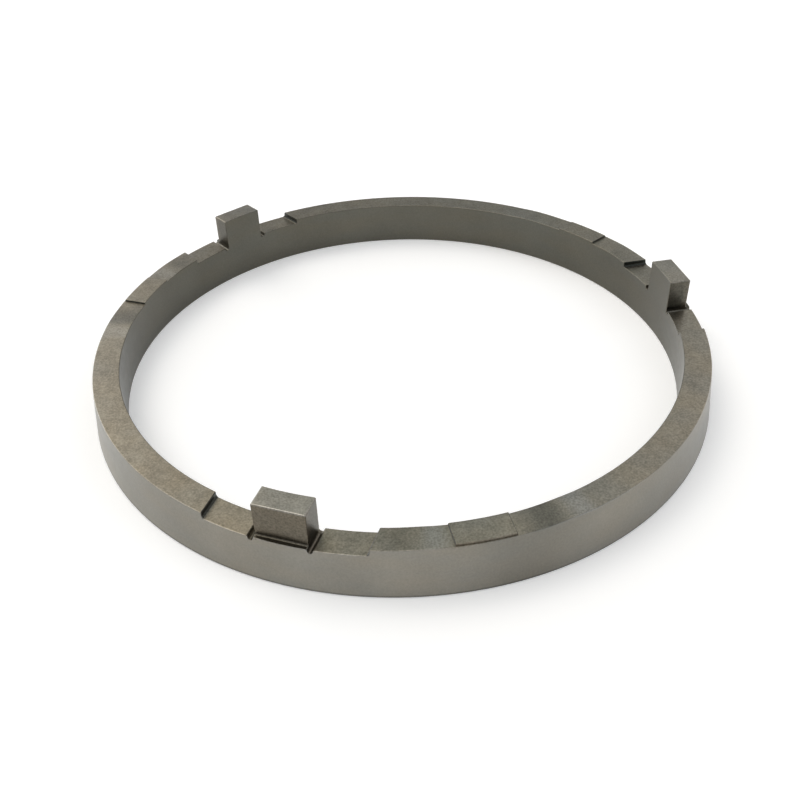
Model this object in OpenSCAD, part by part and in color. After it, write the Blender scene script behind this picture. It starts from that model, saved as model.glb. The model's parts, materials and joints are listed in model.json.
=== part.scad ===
// Synchronizer ring for a gearbox, turned and milled from one piece of steel.
// The outside is a friction cone, the inside a plain bore. On the upper face stand drive lugs,
// each in a milled recess with relief grooves at its flanks, and low raised pads.
// The underside lies on z = 0, the ring's axis is Z, and the first lug is centred on +X.

/* [Ring] */
// Diameter of the friction cone at the underside
cone_d = 150; // [146:0.5:170]
// Slope of the friction cone against the ring's axis, in degrees
cone_angle = 6.5; // [4:0.5:10]
// Thickness of the ring's wall at the underside, between the cone and the bore
wall = 7.5; // [6:0.25:15]
// Height of the upper face above the underside
ring_h = 11.5; // [8:0.5:16]
// Chamfer on the lower edges of the cone and of the bore
foot_chamfer = 0.35; // [0.2:0.05:1]
// Chamfer that breaks the upper edges
edge_break = 0.2; // [0.1:0.05:0.3]

/* [Lugs] */
// Number of drive lugs around the ring
lug_count = 3; // [2:1:5]
// Width of a lug from flank to flank
lug_w = 11.2; // [8:0.2:16]
// Height of a lug above the upper face
lug_rise = 6.5; // [3:0.5:10]
// Ledge between the rim and a lug's flat outer face
ledge_w = 1.25; // [0.8:0.05:2]
// Fillet at the foot of a lug's outer face
lug_foot_r = 0.3; // [0.15:0.05:0.6]

/* [Recesses] */
// Width of the milled recess that a lug stands in
recess_w = 34.5; // [28:0.5:44]
// Depth of the recess below the upper face
recess_depth = 1.3; // [0.8:0.1:2.5]
// Fillet that the cutter leaves at both ends of the recess
recess_fillet = 0.6; // [0.3:0.1:0.8]
// Width of the relief groove beside each flank
groove_w = 1.1; // [0.6:0.1:1.5]
// Depth of the relief groove below the recess
groove_depth = 0.85; // [0.75:0.05:1.5]

/* [Pads] */
// Turn from the middle of a lug to the middle of its pad, in degrees
pad_angle = 30.8; // [24:0.2:60]
// Width of a raised pad
pad_w = 12; // [8:0.5:16]
// Height of a pad above the upper face
pad_rise = 0.45; // [0.3:0.05:0.8]
// Level ledge between the rim's broken edge and a pad's outer wall
pad_ledge = 0.15; // [0.1:0.05:0.4]

/* [Hidden] */
$fn = 180;
// Room that a cutter or a keep-out block takes beyond the metal
margin = 2;
bore_d = cone_d - 2 * wall;
bore_r = bore_d / 2;
floor_z = ring_h - recess_depth;
pad_top = ring_h + pad_rise;
lug_top = ring_h + lug_rise;
lug_pitch = 360 / lug_count;
// The flanks and the outer face of a lug are broken half as wide again as the ring's edges
lug_break = 1.5 * edge_break;
// Radius of the friction cone at a height
function cone_r(z) = cone_d / 2 - z * tan(cone_angle);
lug_face = cone_r(floor_z) - ledge_w;
reach = cone_d / 2 + margin;

// Turned blank: bore, cone and chamfers, as high as the lugs
module blank() {
    rotate_extrude()
        polygon([
            [bore_r, foot_chamfer],
            [bore_r + foot_chamfer, 0],
            [cone_d / 2 - foot_chamfer, 0],
            [cone_r(foot_chamfer), foot_chamfer],
            [cone_r(lug_top), lug_top],
            [bore_r + edge_break, lug_top],
            [bore_r, lug_top - edge_break]
        ]);
}

// Space above a face at height z, with the chamfers that it cuts on the face's two edges
module space_above(z) {
    slant = edge_break + margin;
    rotate_extrude()
        polygon([
            [bore_r - margin, z - slant],
            [bore_r + edge_break, z],
            [cone_r(z) - edge_break, z],
            [cone_r(z) + margin, z - slant],
            [cone_r(z) + margin, lug_top + margin],
            [bore_r - margin, lug_top + margin]
        ]);
}

// A section drawn across the radius (x) and up (y), carried outwards along +X
module along_radius() {
    rotate([90, 0, 90])
        linear_extrude(reach)
            children();
}

// A section drawn along the radius (x) and up (y), carried across both sides of +X
module across_radius(width) {
    rotate([90, 0, 0])
        linear_extrude(width, center = true)
            children();
}

// Copies for every lug, turned about the ring's axis
module at_each_lug(turn = 0) {
    for (i = [0 : lug_count - 1])
        rotate(i * lug_pitch + turn)
            children();
}

// Lug seen along the radius: parallel flanks with broken top edges
module lug_front_section() {
    half = lug_w / 2;
    polygon([
        [-half, 0],
        [half, 0],
        [half, lug_top - lug_break],
        [half - lug_break, lug_top],
        [-half + lug_break, lug_top],
        [-half, lug_top - lug_break]
    ]);
}

// Lug seen from its flank: flat outer face, broken top edge and a fillet at the foot
module lug_side_section() {
    polygon([
        [0, 0],
        [lug_face, 0],
        [lug_face, lug_top - lug_break],
        [lug_face - lug_break, lug_top],
        [0, lug_top]
    ]);
    difference() {
        translate([lug_face - lug_foot_r, 0])
            square([2 * lug_foot_r, floor_z + lug_foot_r]);
        translate([lug_face + lug_foot_r, floor_z + lug_foot_r])
            circle(lug_foot_r);
    }
}

// Metal that stays for one lug
module lug_block() {
    intersection() {
        along_radius() lug_front_section();
        across_radius(lug_w) lug_side_section();
    }
}

// Recess seen along the radius: steep ends with the cutter's fillets, open below the floor
module recess_section() {
    half = recess_w / 2;
    inner = half - recess_fillet;
    translate([-half, floor_z + recess_fillet])
        square([recess_w, lug_top]);
    translate([-inner, floor_z - margin])
        square([2 * inner, lug_top]);
    for (side = [-1, 1])
        translate([side * inner, floor_z + recess_fillet])
            circle(recess_fillet);
}

// Relief groove seen along the radius: a slot with a round bottom beside the flank
module groove_section() {
    groove_r = groove_w / 2;
    for (side = [-1, 1])
        translate([side * (lug_w / 2 + groove_r), floor_z - groove_depth + groove_r]) {
            circle(groove_r);
            translate([-groove_r, 0])
                square([groove_w, groove_depth]);
        }
}

// Metal that stays for one pad: parallel sides and a round outer wall
module pad_block() {
    intersection() {
        translate([0, -pad_w / 2, 0])
            cube([reach, pad_w, lug_top]);
        cylinder(h = lug_top, r = cone_r(ring_h) - edge_break - pad_ledge);
    }
}

module synchronizer_ring() {
    color([0.47, 0.46, 0.43])
        difference() {
            blank();
            // Upper face, with the lugs and pads left standing
            difference() {
                space_above(ring_h);
                at_each_lug() lug_block();
                at_each_lug(pad_angle) pad_block();
            }
            // Tops of the pads
            difference() {
                space_above(pad_top);
                at_each_lug() lug_block();
            }
            // Recesses around the lugs
            difference() {
                intersection() {
                    space_above(floor_z);
                    at_each_lug() along_radius() recess_section();
                }
                at_each_lug() lug_block();
            }
            at_each_lug() along_radius() groove_section();
        }
}

synchronizer_ring();
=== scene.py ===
"""Synchronizer ring: its surface, its steel and the studio that it stands in.

The ring is one closed surface. Stations are walked around the ring, and at each station a line is
drawn around the ring's section, so the surface is a grid of stations by lines.
All sizes are in metres; the underside lies on z = 0, the axis is Z, the first lug stands on +X.
Short endings of names: a is across, o out, z up, r a radius, n a normal, u a direction in plan.
"""
import json
from types import SimpleNamespace

import bpy
import numpy as np
from bpy.props import FloatProperty, FloatVectorProperty, IntProperty, PointerProperty
from mathutils import Matrix, Vector


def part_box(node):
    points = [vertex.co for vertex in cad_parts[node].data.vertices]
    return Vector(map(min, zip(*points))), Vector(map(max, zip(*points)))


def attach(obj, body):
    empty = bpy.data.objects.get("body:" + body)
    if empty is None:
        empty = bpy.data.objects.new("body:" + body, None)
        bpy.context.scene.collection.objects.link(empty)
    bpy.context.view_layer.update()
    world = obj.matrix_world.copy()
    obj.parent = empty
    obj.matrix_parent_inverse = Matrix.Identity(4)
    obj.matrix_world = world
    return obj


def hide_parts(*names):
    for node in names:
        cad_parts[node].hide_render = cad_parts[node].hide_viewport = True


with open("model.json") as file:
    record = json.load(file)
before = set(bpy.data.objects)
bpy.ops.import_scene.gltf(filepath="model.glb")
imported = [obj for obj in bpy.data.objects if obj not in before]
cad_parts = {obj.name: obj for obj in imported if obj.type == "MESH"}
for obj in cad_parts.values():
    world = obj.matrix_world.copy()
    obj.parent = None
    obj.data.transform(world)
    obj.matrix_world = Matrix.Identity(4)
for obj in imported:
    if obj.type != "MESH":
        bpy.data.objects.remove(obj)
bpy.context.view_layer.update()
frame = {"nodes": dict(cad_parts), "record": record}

bl_info = {
    "name": "Synchronizer Ring",
    "version": (1, 0, 0),
    "blender": (4, 5, 0),
    "location": "3D View > Sidebar > Ring",
    "description": "Builds a machined synchronizer ring and the studio around it",
    "category": "Object",
}

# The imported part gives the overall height, and the bore's radius in millimetres
OVERALL_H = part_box("synchronizer_ring")[1][2]
BORE_MOUNT = next(mount for mount in frame["record"]["mounts"] if mount["name"] == "bore")
BORE_D = 0.002 * BORE_MOUNT["dims"]["r_mm"]

UP = np.array([0.0, 0.0, 1.0])
# Points on each rounded edge
STEPS = 5
# What a station crosses above the upper face
PLAIN, LUG, PAD, HOLLOW = range(4)
# Shares of the cone's, the bore's and the milled walls' finish, of wear with painted highlights and
# of painted shade, along a band
TURNED_CONE, TURNED_BORE, MILLED, WEAR_AND_HIGHLIGHT, PAINTED_SHADE = np.eye(5)[:, None]
LEVEL = np.zeros((1, 5))
# Finish of the fillet at a lug's foot and of the ledge outside a lug, milled with painted shade,
# and painted shade low on the cone
LUG_FOOT = 0.5 * MILLED + 0.6 * PAINTED_SHADE
LUG_LEDGE = 0.6 * MILLED + 0.6 * PAINTED_SHADE
CONE_FOOT = 0.5 * PAINTED_SHADE
# Shares of the milled finish and of painted shade in the relief grooves and on a lug's flanks
GROOVE_MILLED, GROOVE_SHADE = 0.55, 0.35
FLANK_MILLED, FLANK_SHADE = 0.6, 0.65
# Power of a normal's rise that keeps painted shade in corners and off level faces
CORNER_POWER = 24
# Share of painted shade on the rising side of a swell at full strength, and of painted highlight on
# its falling side
SWELL_SHADE, SWELL_HIGHLIGHT = 0.55, 0.9
# Lightening on every lug's top, and what the lug that gets most of it has beyond it
LUG_TOP_LIGHTENING, EXTRA_LUG_TOP_LIGHTENING = 0.3, 0.8
# Wear along a lug's crown, and wear with a painted highlight along the rim's edge below a lug, in a
# recess and elsewhere
CROWN_WEAR = 0.2
LUG_RIM_WEAR_AND_HIGHLIGHT, RECESS_RIM_WEAR_AND_HIGHLIGHT, RIM_WEAR_AND_HIGHLIGHT = 1.6, 0.8, 0.35
# Share of painted shade in the middle of the dark smear on the cone, and the turn over which it
# fades
SMEAR_SHADE, SMEAR_FADE = 0.26, np.radians(9.0)
# Heights that differ by less than this count as the same
HAIR = 1e-6
# Columns of a station: its turn, its place on the path and the normal there, the ledge outside the
# path and the normal there, what stands there, the radius where a wall's lines start, how far they
# run out, and the strength of the painted shade and highlight on the swells
COLUMNS = "turn across high lean rise low low_lean low_rise kind shelf run film".split()
TURN, ACROSS, HIGH, LEAN, RISE, LOW, LOW_LEAN, LOW_RISE, KIND, *_, SWELL_SHADING = range(len(COLUMNS))


def length(name, default, description):
    """A size in metres for the panel."""
    return FloatProperty(name=name, description=description, default=default, min=0.0,
                         unit="LENGTH", subtype="DISTANCE", precision=5)


def colour(name, default, description):
    """A linear colour for the panel."""
    return FloatVectorProperty(name=name, description=description, default=default, size=3,
                               min=0.0, max=1.0, subtype="COLOR")


class RingSizes(bpy.types.PropertyGroup):
    """Sizes of the ring."""
    cone_d: length("Cone diameter", 0.150, "Diameter of the friction cone at the underside")
    cone_angle: FloatProperty(
        name="Cone angle", description="Slope of the friction cone against the axis",
        default=np.radians(6.5), subtype="ANGLE")
    bore_d: length("Bore diameter", BORE_D, "Diameter of the bore")
    overall_h: length("Overall height", OVERALL_H, "Height of the lugs above the underside")
    ring_h: length("Ring height", 0.0115, "Height of the upper face above the underside")
    foot_round: length("Foot rounding", 0.00035, "Radius of the lower edges")
    edge_round: length("Edge rounding", 0.0002, "Radius of the upper edges")
    lug_count: IntProperty(name="Lugs", description="Drive lugs around the ring", default=3, min=2)
    lug_w: length("Lug width", 0.0112, "Width of a lug from flank to flank")
    lug_ledge: length("Lug ledge", 0.00125, "Ledge between the rim and a lug's outer face")
    lug_edge: length("Lug edge", 0.0003, "Radius of a lug's flank and outer edges")
    lug_foot: length("Lug foot", 0.0003, "Fillet at the foot of a lug's outer face")
    recess_w: length("Recess width", 0.0345, "Width of the milled recess around a lug")
    recess_depth: length("Recess depth", 0.0013, "Depth of the recess below the upper face")
    recess_fillet: length("Recess fillet", 0.0006, "Cutter's fillet at both ends of the recess")
    groove_w: length("Groove width", 0.0011, "Width of the relief groove beside a flank")
    groove_depth: length("Groove depth", 0.00085, "Depth of the relief groove below the recess")
    pad_angle: FloatProperty(
        name="Pad angle", description="Turn from the middle of a lug to the middle of its pad",
        default=np.radians(30.8), subtype="ANGLE")
    pad_w: length("Pad width", 0.012, "Width of a raised pad")
    pad_rise: length("Pad rise", 0.00045, "Height of a pad above the upper face")
    pad_ledge: length("Pad ledge", 0.00015, "Level ledge outside a pad")
    pad_foot: length("Pad foot", 0.0001, "Fillet at the foot of a pad")
    swell: length("Swell", 0.00012, "Height of the shallow swells in the upper face beside a pad")
    # The smear is a patch of painted shade on the cone
    smear_angle: FloatProperty(
        name="Smear angle", description="Turn from the first lug to the smear of oil on the cone",
        default=np.radians(277.0), subtype="ANGLE")


class SteelFinish(bpy.types.PropertyGroup):
    """Colours of the machined steel."""
    level: colour("Ground faces", (0.294, 0.274, 0.231), "Steel of the ground upper faces")
    straw: colour("Straw tint", (0.311, 0.281, 0.226), "Warm patches on the ground upper faces")
    cone: colour("Turned cone", (0.244, 0.232, 0.201), "Steel of the turned friction cone")
    bore: colour("Turned bore", (0.118, 0.114, 0.095), "Steel of the turned bore")
    milled: colour("Milled walls", (0.130, 0.115, 0.089), "Steel of the milled lug faces and walls")
    # This light colour is wear on edges, and also paints highlights on the rim's edge and on the
    # swells' falling sides, and lightens the lug tops
    worn_and_highlight: colour("Worn edges", (0.408, 0.406, 0.390), "Bare steel on worn edges")
    # This near-black colour paints shade: in corners, fillets and grooves, on a lug's flanks and
    # ledge, low on the cone and on the swells' rising sides
    painted_shade: colour("Painted shade", (0.047, 0.049, 0.043), "Old oil in corners and on steep small edges")


class StudioSetting(bpy.types.PropertyGroup):
    """Camera and light of the studio."""
    turn: FloatProperty(
        name="Turn", description="Turn of the camera about the ring's axis from the -Y side",
        default=np.radians(-10.94), subtype="ANGLE")
    elevation: FloatProperty(
        name="Elevation", description="Height of the camera above the floor as an angle",
        default=0.62446, subtype="ANGLE")
    distance: length("Distance", 0.23876, "Distance from the camera to the middle of the underside")
    lens: FloatProperty(name="Lens", description="Focal length of the camera", default=42.458,
                        min=1.0, subtype="DISTANCE_CAMERA")
    horizon: FloatProperty(name="Horizon light", description="Pale light along the horizon",
                           default=0.85, min=0.0, subtype="FACTOR")
    floor_glow: FloatProperty(name="Floor glow", description="Light that the floor shows by itself",
                              default=0.226, min=0.0, subtype="FACTOR")
    floor: colour("Floor", (0.918, 0.925, 0.936), "Colour of the floor")


def worked_out(chosen):
    """The chosen sizes with those that follow from them."""
    names = RingSizes.__annotations__
    size = SimpleNamespace(**{name: getattr(chosen, name) for name in names})
    size.bore_r = size.bore_d / 2
    size.floor = size.ring_h - size.recess_depth
    size.pad_top = size.ring_h + size.pad_rise
    size.lug_face = cone_radius(size, size.floor) - size.lug_ledge
    size.pad_face = cone_radius(size, size.ring_h) - size.edge_round - size.pad_ledge
    size.pitch = 2 * np.pi / size.lug_count
    size.groove_lip = size.groove_depth - size.groove_w / 2
    return size


def cone_radius(size, height):
    """Radius of the friction cone at a height: half the diameter less height times the slope."""
    return size.cone_d / 2 - height * np.tan(size.cone_angle)


def wall_heights(size):
    """Heights at which an upright wall begins or ends, from the lug's top down to the floor."""
    return np.array([
        size.overall_h - size.lug_edge, (size.overall_h + size.pad_top) / 2,
        size.pad_top - size.edge_round, size.ring_h + size.pad_foot,
        size.ring_h - size.edge_round, size.floor + size.recess_fillet, size.floor + size.lug_foot])


# Paths across the radius: rows of place across, height, and lean and rise of the normal

def level(start, stop, height, count):
    """Level stretch from start to stop in even steps, with an upright normal."""
    across = np.linspace(start, stop, count)
    return np.column_stack([across, np.full(count, height), np.zeros(count), np.ones(count)])


def bend(centre, radius, start, stop, count=STEPS, hollow=False):
    """Arc about a centre between two angles in degrees: centre plus radius times the ray.
    The normal is the ray, turned round in a hollow."""
    angle = np.radians(np.linspace(start, stop, count))
    ray = np.column_stack([np.cos(angle), np.sin(angle)])
    return np.hstack([np.array(centre) + radius * ray, -ray if hollow else ray])


def upright(across, heights, side):
    """Upright wall at one place across, through the given heights, facing to a side."""
    count = len(heights)
    return np.column_stack([np.full(count, across), heights, np.full(count, side), np.zeros(count)])


def lug_path(size):
    """Half a lug, from its middle over the flank's rounded edge and down the flank."""
    half = size.lug_w / 2
    edge = size.lug_edge
    return np.vstack([
        level(0, half - edge, size.overall_h, 6)[:-1],
        bend((half - edge, size.overall_h - edge), edge, 90, 0),
        upright(half, wall_heights(size)[1:], 1)])


def recess_path(size):
    """Round-bottomed groove beside the flank, its lip, the recess floor, the cutter's fillet
    and the rounded edge at the recess's end."""
    groove = size.groove_w / 2
    flank = size.lug_w / 2
    lip = size.groove_lip
    lip_at = flank + size.groove_w + lip
    end = size.recess_w / 2
    fillet = size.recess_fillet
    edge = size.edge_round
    return np.vstack([
        bend((flank + groove, size.floor - lip), groove, 180, 360, 13, hollow=True),
        bend((lip_at, size.floor - lip), lip, 180, 90)[1:],
        level(lip_at, end - fillet, size.floor, 10)[1:-1],
        bend((end - fillet, size.floor + fillet), fillet, 270, 360, 7, hollow=True),
        bend((end + edge, size.ring_h - edge), edge, 180, 90)])


def pad_foot_path(size):
    """Hollow at the foot of a pad's side, from the upper face up to the side."""
    side = -size.pad_w / 2
    foot = size.pad_foot
    return bend((side - foot, size.ring_h + foot), foot, 270, 360, hollow=True)[:-1]


def pad_path(size):
    """Half a pad, from the foot of its side over the rounded edge to its middle."""
    side = -size.pad_w / 2
    edge = size.edge_round
    return np.vstack([
        upright(side, [size.ring_h + size.pad_foot], -1),
        bend((side + edge, size.pad_top - edge), edge, 180, 90),
        level(side + edge, 0, size.pad_top, 5)[1:]])


# Stations: a path's rows with the other columns around them

def stations(path, turn, ledge, kind, shelf, run):
    """Rows of all columns along a path, with no film of oil yet."""
    column = np.ones((len(path), 1))
    single = [value * column for value in (kind, shelf, run, 0)]
    return np.hstack([turn * column, path, ledge, *single])


def level_ledge(path, height):
    """Ledge beside a path at one height, with an upright normal."""
    count = len(path)
    return np.column_stack([np.full(count, height), np.zeros(count), np.ones(count)])


def land(start, stop, size, count, reach, lag, shade):
    """Plain upper face between two stations, in even steps of every value. Over a share of the way
    it swells by the squared sine of pi times that share, and the normal leans with it. The power of
    the share moves the swell: above 1 it lags, below 1 it leads. Painted shade of the given
    strength lies on the rising side, and the falling side, where the value counts as negative, gets
    a painted highlight."""
    share = np.linspace(0, 1, count + 2)[1:-1]
    rows = start + (stop - start) * share[:, None]
    rows[:, KIND] = PLAIN
    middle = (size.bore_r + cone_radius(size, size.ring_h)) / 2
    way = share * (middle * (stop[TURN] - start[TURN]) + stop[ACROSS] - start[ACROSS])
    phase = np.pi * np.clip(share / reach, 0, 1) ** lag
    swell = size.swell * np.sin(phase) ** 2
    slope = np.arctan(np.gradient(swell, way))
    wave = np.sin(2 * phase)
    # Painted shade on the swell's rising side, painted highlight on its falling side
    rows[:, SWELL_SHADING] = np.where(wave > 0, shade * wave, wave)
    rows[:, [HIGH, LOW]] += swell[:, None]
    rows[:, [LEAN, LOW_LEAN]] -= np.sin(slope)[:, None]
    rows[:, [RISE, LOW_RISE]] = np.cos(slope)[:, None]
    return rows


def flipped(rows, turn):
    """The same stations on the other side: in reverse, with places across and leans negated."""
    back = rows[::-1].copy()
    back[:, TURN] = turn
    back[:, [ACROSS, LEAN, LOW_LEAN]] *= -1
    return back


def pitch_stations(size):
    """Stations from the middle of a lug to the last one before the next lug's middle."""
    lug = lug_path(size)
    # The ledge outside a lug repeats the lug's edge at the height of the recess floor
    drop = size.overall_h - size.floor
    lowered = np.maximum(lug[:, 1] - drop, size.floor - size.lug_edge)
    lug_low = np.column_stack([lowered, lug[:, 2:]])
    recess = recess_path(size)
    foot = pad_foot_path(size)
    pad = pad_path(size)
    lug_core = np.hypot(size.lug_face - size.lug_edge, size.lug_w / 2)
    pad_core = size.pad_face - size.edge_round
    at = size.pad_angle
    lug = stations(lug, 0, lug_low, LUG, lug_core, size.lug_foot)
    recess = stations(recess, 0, recess[:, 1:], PLAIN, lug_core, size.lug_foot + size.lug_edge)
    foot = stations(foot, at, level_ledge(foot, size.ring_h), HOLLOW, pad_core, size.pad_foot)
    pad = stations(pad, at, level_ledge(pad, size.ring_h), PAD, pad_core, size.pad_foot)
    far_foot = flipped(foot, at)
    far_recess = flipped(recess, size.pitch)
    near_land = land(recess[-1], foot[0], size, count=24, reach=1.0, lag=1.2, shade=0.5)
    far_land = land(far_foot[-1], far_recess[0], size, count=96, reach=0.195, lag=1.5, shade=1.0)
    return np.vstack([
        lug, recess, near_land, foot, pad,
        flipped(pad, at)[1:], far_foot, far_land, far_recess, flipped(lug, size.pitch)[:-1]])


# Lines around the section, in bands of points, normals and finish

def unit(vectors):
    """Vectors brought to length 1."""
    return vectors / np.linalg.norm(vectors, axis=-1, keepdims=True)


def swing(first, last):
    """Directions that turn in even steps from the first to the last, for each station."""
    angle = np.linspace(0, np.pi / 2, STEPS)[None, :, None]
    return unit(np.cos(angle) * first[:, None] + np.sin(angle) * last[:, None])


def spots(across, out, height):
    """Points from places across, out and up, which broadcast to stations by lines."""
    return np.stack(np.broadcast_arrays(across, out, height), axis=-1).astype(float)


def edge_finish(first, last, wear_and_highlight=0.0, late=1.0):
    """Finish along a rounded edge: it passes from the first to the last, by a power of the share
    where it passes late, and in the middle takes the light colour of abraded steel, which also
    paints a highlight."""
    share = np.linspace(0, 1, STEPS)[:, None]
    passed = share ** late
    return (1 - passed) * first + passed * last + wear_and_highlight * np.sin(np.pi * share) * WEAR_AND_HIGHLIGHT


def wall_finish(size, walk, height, rise):
    """Shares by slope: a face is milled as far as it is upright, and by about half below the recess
    floor. Painted shade lies on steep faces and in fillets by 1 less a high power of the rise, and
    some on a lug's flanks, in the grooves and on the rising side of the swells. A painted highlight
    lies on their falling side, and the tops of the lugs are lightened, one of them most: half plus
    half the cosine of the turn from it."""
    low = height < size.floor - HAIR
    lug = walk.kind == LUG
    milled = np.where(low, GROOVE_MILLED, np.where(lug, FLANK_MILLED, 1.0) * (1 - rise))
    # Painted shade on steep faces, in fillets, on a lug's flanks, in the grooves and on the swells'
    # rising sides
    corner = np.where(lug, FLANK_SHADE * (1 - rise), 1 - rise ** CORNER_POWER)
    painted_shade = np.maximum(np.where(low, GROOVE_SHADE, corner), SWELL_SHADE * walk.film)
    # Lightened lug tops, most on the third lug, and a painted highlight on the swells' falling
    # sides
    lug_top_lightening = LUG_TOP_LIGHTENING + EXTRA_LUG_TOP_LIGHTENING * (0.5 + 0.5 * np.cos(walk.turn - 2 * size.pitch))
    wear_and_highlight = np.maximum(-SWELL_HIGHLIGHT * walk.film, np.where(lug, lug_top_lightening * rise, 0.0))
    return milled[:, :, None] * MILLED + painted_shade[:, :, None] * PAINTED_SHADE + wear_and_highlight[:, :, None] * WEAR_AND_HIGHLIGHT


def bore_bands(size, walk):
    """Foot, wall and upper edge of the bore, from the underside up: the wall stops one edge radius
    inside the metal, and from there a ball of that radius rolls over to the upper face."""
    core_a = walk.across - size.edge_round * walk.lean
    core_z = walk.high - size.edge_round * walk.rise
    core_r = size.bore_r + size.edge_round
    core_o = np.sqrt(core_r ** 2 - core_a ** 2)
    walk.bore_u = spots(core_a, core_o, 0)[:, 0] / core_r
    walk.core_o = core_o
    foot_rays = swing(walk.down, -walk.bore_u)
    foot_at = (size.bore_r + size.foot_round) * walk.bore_u + size.foot_round * UP
    foot = foot_at[:, None] + size.foot_round * foot_rays
    heights = np.concatenate([
        walk.low_heights[::-1], [size.floor - size.groove_lip], wall_heights(size)[::-1]])
    wall = size.bore_r * walk.bore_u[:, None] + UP * np.minimum(heights, core_z)[:, :, None]
    edge_rays = swing(-walk.bore_u, walk.top_n)
    edge = spots(core_a, core_o, core_z) + size.edge_round * edge_rays
    return [
        (foot, foot_rays, edge_finish(LEVEL, TURNED_BORE)),
        (wall, -walk.bore_u[:, None], TURNED_BORE),
        (edge, edge_rays, edge_finish(TURNED_BORE, walk.top_finish, late=3.0))]


def upper_bands(size, walk):
    """Upper face, then what stands on it. A lug or pad has a crown rounded by a ball, an upright
    outer face and a hollow foot. Elsewhere those lines fall together or run on across the level."""
    lug = walk.kind == LUG
    pad = walk.kind == PAD
    hollow = walk.kind == HOLLOW
    stands = lug | pad
    crown_r = np.where(lug, size.lug_edge, np.where(pad, size.edge_round, 0))
    crown_a = walk.across - crown_r * walk.lean
    crown_z = walk.high - crown_r * walk.rise
    pad_corner = size.pad_w / 2 - size.edge_round
    shelf_a = np.where(pad, crown_a, np.where(hollow, pad_corner, walk.across))
    crown_o = np.where(lug, size.lug_face - size.lug_edge, np.sqrt(walk.shelf ** 2 - shelf_a ** 2))
    tilt = np.where(pad, walk.across / walk.shelf, 0)
    face_u = spots(tilt, np.sqrt(1 - tilt ** 2), 0)
    quarter = np.linspace(0, np.pi / 2, STEPS)[None, :]
    sine, cosine = np.sin(quarter), np.cos(quarter)

    share = np.array([[1 / 3, 2 / 3]])
    top = spots(walk.across, walk.core_o + (crown_o - walk.core_o) * share, walk.high)

    roll = walk.rise[:, :, None] * (sine[:, :, None] * face_u + cosine[:, :, None] * UP)
    over = crown_r[:, :, None] * np.where(stands[:, :, None], roll, 0)
    crown = spots(walk.across, crown_o, crown_z) + over
    crown_n = np.where(stands[:, :, None], spots(walk.lean, 0, 0) + roll, walk.top_n[:, None])

    side_n = spots(walk.lean, 0, 0) + walk.rise[:, :, None] * face_u
    foot_z = np.where(lug, size.floor, walk.low) + walk.run
    drop = np.clip(wall_heights(size), foot_z, np.maximum(crown_z, foot_z))
    heights = np.where(stands, drop, walk.high)
    bulge = (crown_r * walk.rise)[:, :, None] * face_u
    face = spots(walk.across, crown_o, 0) + bulge + UP * heights[:, :, None]
    face_n = np.where(stands[:, :, None], side_n, walk.top_n[:, None])

    # A lug's fillet sets in with the rounded edge where the flank begins
    inset = size.lug_edge * (1 - walk.rise)
    lug_foot = spots(walk.across, size.lug_face + walk.run * (1 - cosine) - inset * cosine,
                     foot_z - (walk.run + inset) * sine)
    lug_n = spots(walk.lean, walk.rise * cosine, walk.rise * sine)
    # A pad's fillet goes round its corner
    reach = size.edge_round + walk.run * (1 - cosine)
    pad_foot = spots(crown_a + reach * walk.lean, crown_o, foot_z - walk.run * sine)
    pad_foot = pad_foot + (reach * walk.rise)[:, :, None] * face_u
    pad_n = cosine[:, :, None] * side_n + sine[:, :, None] * UP
    # In the hollow beside a pad the lines stay on the hollow's own curve
    angle = np.maximum(quarter, np.arccos(np.clip(np.abs(walk.lean), 0, 1)))
    side = np.sign(walk.across)
    curve = spots(side * (size.pad_w / 2 + walk.run * (1 - np.cos(angle))), crown_o,
                  size.ring_h + walk.run * (1 - np.sin(angle)))
    curve_n = spots(side * np.cos(angle), 0, np.sin(angle))
    plain = spots(walk.across, crown_o + walk.run * (1 - cosine), walk.high)
    kinds = [lug[:, :, None], pad[:, :, None], hollow[:, :, None]]
    foot = np.select(kinds, [lug_foot, pad_foot, curve], plain)
    foot_n = np.select(kinds, [lug_n, pad_n, curve_n], walk.top_n[:, None] + 0 * plain)
    stands = stands[:, :, None]
    wear_and_highlight = np.where(lug, CROWN_WEAR, 0.0)[:, :, None]
    crown_finish = np.where(stands, edge_finish(walk.top_finish, MILLED, wear_and_highlight), walk.top_finish)
    face_finish = np.where(stands, MILLED, walk.top_finish)
    foot_finish = np.where(lug[:, :, None], LUG_FOOT, face_finish)
    return [(top, walk.top_n[:, None], walk.top_finish), (crown, crown_n, crown_finish),
            (face, face_n, face_finish), (foot, foot_n, foot_finish)]


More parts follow.
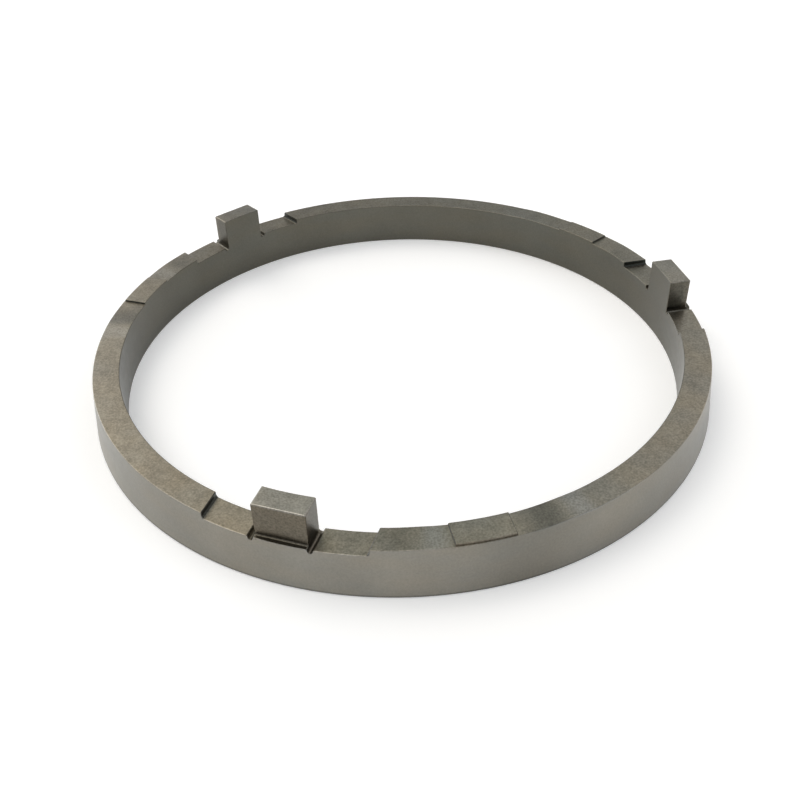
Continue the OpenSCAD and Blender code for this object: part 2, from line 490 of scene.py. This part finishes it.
def rim_bands(size, walk, ledge_start):
    """Ledge, rim edge, cone, its foot and the underside: the rim's edge is rolled by a ball as at
    the bore, and the cone falls straight from it."""
    beside_pad = (walk.kind == PAD) | (walk.kind == HOLLOW)
    shift = np.where(beside_pad, walk.run * walk.lean, 0)
    rim_a = walk.across + shift - size.edge_round * walk.low_lean
    rim_z = walk.low - size.edge_round * walk.low_rise
    rim_r = cone_radius(size, rim_z) - size.edge_round / np.cos(size.cone_angle)
    rim_u = spots(rim_a, np.sqrt(rim_r ** 2 - rim_a ** 2), 0)[:, 0] / rim_r
    cone_n = np.cos(size.cone_angle) * rim_u + np.sin(size.cone_angle) * UP
    rim_rays = swing(walk.low_n, cone_n)
    rim = (rim_r * rim_u + rim_z * UP)[:, None] + size.edge_round * rim_rays
    ledge = (ledge_start + rim[:, :1]) / 2
    cone_r = cone_radius(size, walk.low_heights)[:, None]
    cone = cone_r * rim_u[:, None] + UP * walk.low_heights[:, None]
    foot_r = cone_radius(size, size.foot_round) - size.foot_round / np.cos(size.cone_angle)
    foot_rays = swing(cone_n, walk.down)
    foot = (foot_r * rim_u + size.foot_round * UP)[:, None] + size.foot_round * foot_rays
    # A smear of painted shade on the cone fades to both sides as a bell curve of the turn
    turn = walk.turn + np.arctan2(rim_u[:, :1], rim_u[:, 1:2])
    smear = SMEAR_SHADE * np.exp(-((turn - size.smear_angle) / SMEAR_FADE) ** 2)
    cone_with_smear_shade = TURNED_CONE + smear[:, :, None] * PAINTED_SHADE
    # The rim's edge has wear with a painted highlight, more where the recess lowers it, and most
    # below a lug
    lowered = walk.low < size.ring_h - size.recess_depth / 2
    beside_lug = np.where(lowered, RECESS_RIM_WEAR_AND_HIGHLIGHT, RIM_WEAR_AND_HIGHLIGHT)
    wear_and_highlight = np.where(walk.kind == LUG, LUG_RIM_WEAR_AND_HIGHLIGHT, beside_lug)[:, :, None]
    share = np.array([1 / 3, 2 / 3])[:, None]
    inner = (size.bore_r + size.foot_round) * walk.bore_u[:, None]
    under = (1 - share) * foot_r * rim_u[:, None] + share * inner
    return [
        (ledge, walk.low_n[:, None], walk.low_finish),
        (rim, rim_rays, edge_finish(walk.low_finish, cone_with_smear_shade, wear_and_highlight)),
        (cone, cone_n[:, None], cone_with_smear_shade),
        # The cone's foot passes into painted shade where it meets the floor
        (foot, foot_rays, edge_finish(cone_with_smear_shade + CONE_FOOT, PAINTED_SHADE, late=0.4)),
        (under, walk.down[:, None], LEVEL)]


def ring_grid(size):
    """Points, normals and finish of the whole ring, stations by lines. The bands are worked out
    in a frame of across, out and up at each station, then turned about the axis."""
    one = pitch_stations(size)
    later = np.zeros(len(COLUMNS))
    later[TURN] = size.pitch
    rows = np.vstack([one + count * later for count in range(size.lug_count)])
    # The painted shade and highlight on the swells differ from lug to lug, by the sine of half the
    # turn from the first
    strength = np.sin(np.pi * np.arange(size.lug_count) / size.lug_count)
    rows[:, SWELL_SHADING] *= np.repeat(strength, len(one))
    walk = SimpleNamespace(**{name: column[:, None] for name, column in zip(COLUMNS, rows.T)})
    walk.top_n = spots(walk.lean, 0, walk.rise)[:, 0]
    walk.low_n = spots(walk.low_lean, 0, walk.low_rise)[:, 0]
    walk.down = np.broadcast_to(-UP, walk.top_n.shape)
    walk.top_finish = wall_finish(size, walk, walk.high, walk.rise)
    ledge_finish = wall_finish(size, walk, walk.low, walk.low_rise)
    walk.low_finish = np.where((walk.kind == LUG)[:, :, None], LUG_LEDGE, ledge_finish)
    # Lines low on the cone and the bore, from below the grooves down to the foot
    groove_bottom = size.floor - size.groove_depth
    even = (groove_bottom - 2 * size.edge_round) * np.array([1, 2 / 3, 1 / 3])
    walk.low_heights = np.append(even, 2 * size.foot_round)
    bore = bore_bands(size, walk)
    upper = upper_bands(size, walk)
    rim = rim_bands(size, walk, upper[-1][0][:, -1:])
    bands = bore + upper + rim

    def joined(which):
        """One item of every band, spread over all stations and lines of its band."""
        items = []
        for band in bands:
            shape = (*band[0].shape[:2], band[which].shape[-1])
            items.append(np.broadcast_to(band[which], shape))
        return np.concatenate(items, axis=1)

    def turned(vectors):
        """Vectors turned about the axis: out along the station's own ray, across square to it."""
        across, out, height = np.moveaxis(vectors, 2, 0)
        x = out * np.cos(walk.turn) - across * np.sin(walk.turn)
        y = out * np.sin(walk.turn) + across * np.cos(walk.turn)
        return np.stack([x, y, height], axis=2)

    return turned(joined(0)), turned(unit(joined(1))), joined(2)


def weld(points, normals, finish, step=2e-7):
    """Joins grid points that fall together in steps of the given size, adds up their normals and
    averages their finish. Faces run (station, line), (station, line + 1), (next station, line + 1),
    (next station, line). Faces that vanish are dropped, and those that lose a side become
    triangles."""
    columns, lines = points.shape[:2]
    kinds = finish.shape[-1]
    places = points.reshape(-1, 3)
    keys = np.round(places / step).astype(np.int64)
    first, inverse = np.unique(keys, axis=0, return_index=True, return_inverse=True)[1:]
    inverse = inverse.reshape(-1)
    total = np.zeros((len(first), 3))
    np.add.at(total, inverse, normals.reshape(-1, 3))
    shares = np.zeros((len(first), kinds))
    np.add.at(shares, inverse, finish.reshape(-1, kinds))
    shares /= np.bincount(inverse)[:, None]
    index = np.arange(columns * lines).reshape(columns, lines)
    right = np.roll(index, -1, axis=0)
    up = np.roll(index, -1, axis=1)
    both = np.roll(right, -1, axis=1)
    quads = inverse[np.stack([index, up, both, right], axis=2).reshape(-1, 4)]
    same = quads == np.roll(quads, -1, axis=1)
    full = quads[~same.any(axis=1)]
    single = same.sum(axis=1) == 1
    triangles = np.concatenate([
        np.delete(quads[single & same[:, corner]], corner, axis=1) for corner in range(4)])
    return places[first], unit(total), shares, full, triangles


def ring_mesh(size):
    """Mesh of the ring from the welded grid, with its own normals and the finish as attributes."""
    places, normals, shares, quads, triangles = weld(*ring_grid(size))
    mesh = bpy.data.meshes.new("machined_ring")
    corners = np.concatenate([quads.reshape(-1), triangles.reshape(-1)]).astype(np.int32)
    counts = np.concatenate([np.full(len(quads), 4), np.full(len(triangles), 3)])
    starts = np.concatenate([[0], np.cumsum(counts)[:-1]]).astype(np.int32)
    mesh.vertices.add(len(places))
    mesh.vertices.foreach_set("co", places.astype(np.float32).reshape(-1))
    mesh.loops.add(len(corners))
    mesh.loops.foreach_set("vertex_index", corners)
    mesh.polygons.add(len(counts))
    mesh.polygons.foreach_set("loop_start", starts)
    mesh.update(calc_edges=True)
    mesh.polygons.foreach_set("use_smooth", np.ones(len(counts), dtype=bool))
    attribute = mesh.attributes.new("finish", "FLOAT_VECTOR", "POINT")
    attribute.data.foreach_set("vector", shares[:, :3].astype(np.float32).reshape(-1))
    # The fourth share is wear with painted highlights, the fifth is painted shade
    for column, name in ((3, "wear_and_highlight"), (4, "painted_shade")):
        attribute = mesh.attributes.new(name, "FLOAT", "POINT")
        attribute.data.foreach_set("value", shares[:, column].astype(np.float32))
    mesh.normals_split_custom_set_from_vertices(normals)
    if mesh.validate(clean_customdata=False):
        raise RuntimeError("the ring's mesh has faulty faces")
    return mesh


# Nodes

def node(tree, kind, inputs=None, **settings):
    """One node with its settings; an input is a value or the socket that feeds it."""
    made = tree.nodes.new(kind)
    for name, value in settings.items():
        setattr(made, name, value)
    for key, value in (inputs or {}).items():
        if isinstance(value, bpy.types.NodeSocket):
            tree.links.new(value, made.inputs[key])
        else:
            made.inputs[key].default_value = value
    return made


def maths(tree, operation, *values):
    """Result of a Math node."""
    return node(tree, "ShaderNodeMath", dict(enumerate(values)), operation=operation).outputs[0]


def vector_maths(tree, operation, inputs):
    """Results of a Vector Math node."""
    return node(tree, "ShaderNodeVectorMath", inputs, operation=operation).outputs


def ramp(tree, value, low, high, first=0.0, last=1.0, shape="LINEAR"):
    """Value that passes from first to last as the given one passes from low to high."""
    inputs = {0: value, 1: low, 2: high, 3: first, 4: last}
    return node(tree, "ShaderNodeMapRange", inputs, interpolation_type=shape).outputs[0]


def noise(tree, vector, patches, detail, rough=0.5):
    """Soft random pattern about 0.5, with so many patches to a metre on each axis."""
    fine = vector_maths(tree, "MULTIPLY", {0: vector, 1: patches})[0]
    inputs = {"Vector": fine, "Scale": 1.0, "Detail": detail, "Roughness": rough}
    return node(tree, "ShaderNodeTexNoise", inputs).outputs[0]


def blend_colours(tree, share, first, last):
    """Colour between two, by share."""
    inputs = {0: share, 6: first, 7: last}
    return node(tree, "ShaderNodeMix", inputs, data_type="RGBA").outputs[2]


def full_colour(rgb):
    """Colour with its alpha."""
    return (*rgb, 1.0)


def machined_steel(finish):
    """Satin machined steel by the ring's attributes: ground faces with straw patches, finely turned
    cone and bore, dark milled walls, abraded light edges that also paint highlights, painted shade
    in corners and a thin oily cast."""
    material = bpy.data.materials.new("machined_steel")
    material.use_nodes = True
    tree = material.node_tree
    tree.nodes.clear()
    place = node(tree, "ShaderNodeTexCoord").outputs["Object"]
    split = node(tree, "ShaderNodeSeparateXYZ", {0: place}).outputs
    radius = maths(tree, "SQRT", maths(tree, "ADD", maths(tree, "POWER", split[0], 2.0),
                                       maths(tree, "POWER", split[1], 2.0)))
    shares = node(tree, "ShaderNodeAttribute", attribute_name="finish").outputs["Vector"]
    cone, bore, milled = node(tree, "ShaderNodeSeparateXYZ", {0: shares}).outputs
    # Shares of wear with painted highlights, and of painted shade
    worn_and_highlight = node(tree, "ShaderNodeAttribute", attribute_name="wear_and_highlight").outputs["Fac"]
    painted_shade_share = node(tree, "ShaderNodeAttribute", attribute_name="painted_shade").outputs["Fac"]
    turned = maths(tree, "ADD", cone, bore)

    # Turning marks run around the axis; grinding leaves a grain and soft patches
    around = node(tree, "ShaderNodeCombineXYZ", {0: split[0], 1: split[1], 2: radius}).outputs[0]
    lathe = noise(tree, place, (45.0, 45.0, 2600.0), 2.0)
    facing = noise(tree, around, (60.0, 60.0, 1900.0), 2.0)
    grain = noise(tree, place, (2400.0, 2400.0, 2400.0), 1.0)
    mottle = noise(tree, place, (420.0, 420.0, 420.0), 3.0, 0.6)
    cloud = noise(tree, place, (70.0, 70.0, 70.0), 2.0)
    patches = noise(tree, place, (130.0, 130.0, 130.0), 1.0, 0.4)

    # Each finish covers those before it by its share
    tint = ramp(tree, patches, 0.35, 0.65)
    wear_and_highlight_share = maths(tree, "MULTIPLY", worn_and_highlight, 0.5)
    steel = full_colour(finish.level)
    # The last two layers are wear with painted highlights, and painted shade
    layers = (
        (tint, finish.straw), (cone, finish.cone), (bore, finish.bore),
        (milled, finish.milled), (wear_and_highlight_share, finish.worn_and_highlight), (painted_shade_share, finish.painted_shade))
    for share, layer in layers:
        steel = blend_colours(tree, share, steel, full_colour(layer))

    # Patterns lighten and darken the steel, the finer ones more where it is ground than turned
    ground = maths(tree, "SUBTRACT", 1.0, turned)
    coarse = maths(tree, "MULTIPLY_ADD", ground, 0.25, 0.10)
    fine = maths(tree, "MULTIPLY_ADD", ground, 0.70, 0.25)
    tone = 1.0
    for pattern, depth in ((mottle, coarse), (grain, fine), (cloud, 0.25)):
        tone = maths(tree, "MULTIPLY_ADD", maths(tree, "SUBTRACT", pattern, 0.5), depth, tone)
    steel = vector_maths(tree, "SCALE", {0: steel, "Scale": tone})[0]

    # A film of oil casts long patches a little cool or warm
    film = ramp(tree, noise(tree, place, (55.0, 55.0, 190.0), 2.0), 0.32, 0.68)
    cool, warm = full_colour((0.972, 0.992, 1.018)), full_colour((1.028, 1.008, 0.982))
    cast = blend_colours(tree, film, cool, warm)
    steel = vector_maths(tree, "MULTIPLY", {0: steel, 1: cast})[0]

    rough = maths(tree, "MULTIPLY_ADD", mottle, 0.14, 0.26)
    marks = node(tree, "ShaderNodeMix", {0: turned, 2: facing, 3: lathe}).outputs[0]
    height = maths(tree, "MULTIPLY_ADD", grain, 0.6, marks)
    bump = node(tree, "ShaderNodeBump", {"Height": height, "Distance": 4e-6, "Strength": 1.0})
    shader = node(tree, "ShaderNodeBsdfPrincipled", {
        "Base Color": steel, "Roughness": rough, "Metallic": 1.0, "Normal": bump.outputs[0]})
    node(tree, "ShaderNodeOutputMaterial", {0: shader.outputs[0]})
    return material


def floor_material(floor, glow):
    """Pale matt floor that keeps shadows. To the camera and in reflections it also glows by a set
    strength, so that it comes out white under the soft light."""
    material = bpy.data.materials.new("pale_floor")
    material.use_nodes = True
    tree = material.node_tree
    tree.nodes.clear()
    rays = node(tree, "ShaderNodeLightPath").outputs
    seen = maths(tree, "MAXIMUM", rays["Is Camera Ray"], rays["Is Glossy Ray"])
    seen = maths(tree, "MAXIMUM", seen, rays["Is Transmission Ray"])
    matt = node(tree, "ShaderNodeBsdfDiffuse", {"Color": full_colour(floor)})
    light = node(tree, "ShaderNodeEmission", {"Strength": maths(tree, "MULTIPLY", seen, glow)})
    both = node(tree, "ShaderNodeAddShader", {0: matt.outputs[0], 1: light.outputs[0]})
    node(tree, "ShaderNodeOutputMaterial", {0: both.outputs[0]})
    return material


class BuildRing(bpy.types.Operator):
    """Builds the machined ring in place of its CAD node"""
    bl_idname = "synchro.build_ring"
    bl_label = "Build Ring"

    def execute(self, context):
        if "synchronizer_ring" not in frame["nodes"]:
            raise RuntimeError("the frame has no synchronizer ring")
        mesh = ring_mesh(worked_out(context.scene.ring_sizes))
        mesh.materials.append(machined_steel(context.scene.steel_finish))
        ring = bpy.data.objects.new("machined_ring", mesh)
        context.scene.collection.objects.link(ring)
        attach(ring, "root")
        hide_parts("synchronizer_ring")
        return {"FINISHED"}


# Soft lights of the room as the camera sees it: turn to the right from straight ahead, height and
# half width, all in degrees, and the red, green and blue at the middle
ROOM_LIGHTS = (
    ((-72.0, 64.0, 34.0), (2.50, 2.42, 2.30)),
    ((-45.0, 10.0, 34.0), (2.30, 2.42, 2.58)),
    ((45.0, 10.0, 34.0), (0.79, 0.77, 0.73)),
    ((112.5, 38.0, 34.0), (0.85, 0.94, 1.03)),
    ((180.0, 58.0, 34.0), (1.04, 1.02, 0.98)),
    ((-40.0, 50.0, 26.0), (1.18, 1.06, 0.87)),
    ((16.0, 50.0, 26.0), (0.25, 0.35, 0.35)),
    ((38.0, 50.0, 26.0), (0.79, 0.67, 0.66)),
)
# Sines of the heights between which the pale band along the horizon fades out
BAND_FADE = (0.32, 0.45)
# Small turns about the camera's own axes after it is aimed, in radians
NUDGE_X, NUDGE_Y, NUDGE_Z = -0.03432, 0.0028, -0.03038
# Half the width of the floor, and how far it lies below the underside
FLOOR_HALF, FLOOR_DROP = 4.0, 2e-5


def room_light(scene, studio):
    """Dark world with a pale band along the horizon, which fades out by a smooth step of the
    height, and a few soft lights: each adds its colour times a smooth step of the cosine between
    the view direction and its own."""
    world = bpy.data.worlds.new("studio_room")
    scene.world = world
    world.use_nodes = True
    tree = world.node_tree
    tree.nodes.clear()
    direction = node(tree, "ShaderNodeTexCoord").outputs["Generated"]
    inputs = {0: direction, "Rotation": (0.0, 0.0, -studio.turn)}
    turned = node(tree, "ShaderNodeMapping", inputs).outputs[0]
    height = node(tree, "ShaderNodeSeparateXYZ", {0: turned}).outputs[2]
    band = ramp(tree, height, *BAND_FADE, studio.horizon, 0.0, "SMOOTHSTEP")
    light = node(tree, "ShaderNodeCombineXYZ", {0: band, 1: band, 2: band}).outputs[0]
    for place, glow in ROOM_LIGHTS:
        side, rise, width = np.radians(place)
        axis = (np.sin(side) * np.cos(rise), np.cos(side) * np.cos(rise), np.sin(rise))
        cosine = vector_maths(tree, "DOT_PRODUCT", {0: turned, 1: axis})["Value"]
        share = ramp(tree, cosine, np.cos(width), 1.0, shape="SMOOTHSTEP")
        added = vector_maths(tree, "SCALE", {0: glow, "Scale": share})[0]
        light = vector_maths(tree, "ADD", {0: light, 1: added})[0]
    shader = node(tree, "ShaderNodeBackground", {"Color": light, "Strength": 1.0})
    node(tree, "ShaderNodeOutputWorld", {0: shader.outputs[0]})


def studio_camera(scene, studio):
    """Camera at its distance and elevation, turned about the axis, aimed at the middle of the
    underside and then nudged by small turns about its own axes."""
    data = bpy.data.cameras.new("studio_camera")
    data.lens = studio.lens
    data.sensor_width = 36.0
    data.clip_start = 0.01
    camera = bpy.data.objects.new("studio_camera", data)
    scene.collection.objects.link(camera)
    ray = Vector((0.0, -np.cos(studio.elevation), np.sin(studio.elevation)))
    at = Matrix.Rotation(studio.turn, 3, "Z") @ ray * studio.distance
    aim = (-at).to_track_quat("-Z", "Y").to_matrix()
    nudge = Matrix.Rotation(NUDGE_Y, 3, "Y") @ Matrix.Rotation(NUDGE_X, 3, "X")
    aim = aim @ nudge @ Matrix.Rotation(NUDGE_Z, 3, "Z")
    camera.matrix_world = Matrix.Translation(at) @ aim.to_4x4()
    scene.camera = camera


class SetStage(bpy.types.Operator):
    """Sets the floor, the light and the camera"""
    bl_idname = "synchro.set_stage"
    bl_label = "Set Stage"

    def execute(self, context):
        scene = context.scene
        studio = scene.studio_setting
        signs = ((-1, -1), (1, -1), (1, 1), (-1, 1))
        corners = [(x * FLOOR_HALF, y * FLOOR_HALF, -FLOOR_DROP) for x, y in signs]
        mesh = bpy.data.meshes.new("pale_floor")
        mesh.from_pydata(corners, [], [(0, 1, 2, 3)])
        mesh.materials.append(floor_material(studio.floor, studio.floor_glow))
        floor = bpy.data.objects.new("pale_floor", mesh)
        scene.collection.objects.link(floor)
        room_light(scene, studio)
        studio_camera(scene, studio)
        scene.view_settings.view_transform = "Standard"
        return {"FINISHED"}


class RingPanel(bpy.types.Panel):
    """Lists the ring's sizes, its finish and its studio"""
    bl_idname = "VIEW3D_PT_synchro_ring"
    bl_label = "Synchronizer Ring"
    bl_space_type = "VIEW_3D"
    bl_region_type = "UI"
    bl_category = "Ring"

    def draw(self, context):
        scene = context.scene
        for group in (scene.ring_sizes, scene.steel_finish, scene.studio_setting):
            box = self.layout.box()
            for name in type(group).__annotations__:
                box.prop(group, name)
        self.layout.operator(BuildRing.bl_idname)
        self.layout.operator(SetStage.bl_idname)


CLASSES = (RingSizes, SteelFinish, StudioSetting, BuildRing, SetStage, RingPanel)


def register():
    for kind in CLASSES:
        bpy.utils.register_class(kind)
    bpy.types.Scene.ring_sizes = PointerProperty(type=RingSizes)
    bpy.types.Scene.steel_finish = PointerProperty(type=SteelFinish)
    bpy.types.Scene.studio_setting = PointerProperty(type=StudioSetting)


def unregister():
    del bpy.types.Scene.studio_setting
    del bpy.types.Scene.steel_finish
    del bpy.types.Scene.ring_sizes
    for kind in reversed(CLASSES):
        bpy.utils.unregister_class(kind)


def main():
    """Registers the classes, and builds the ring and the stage."""
    register()
    bpy.ops.synchro.build_ring()
    bpy.ops.synchro.set_stage()
    bpy.context.view_layer.update()


if __name__ == "__main__":
    main()
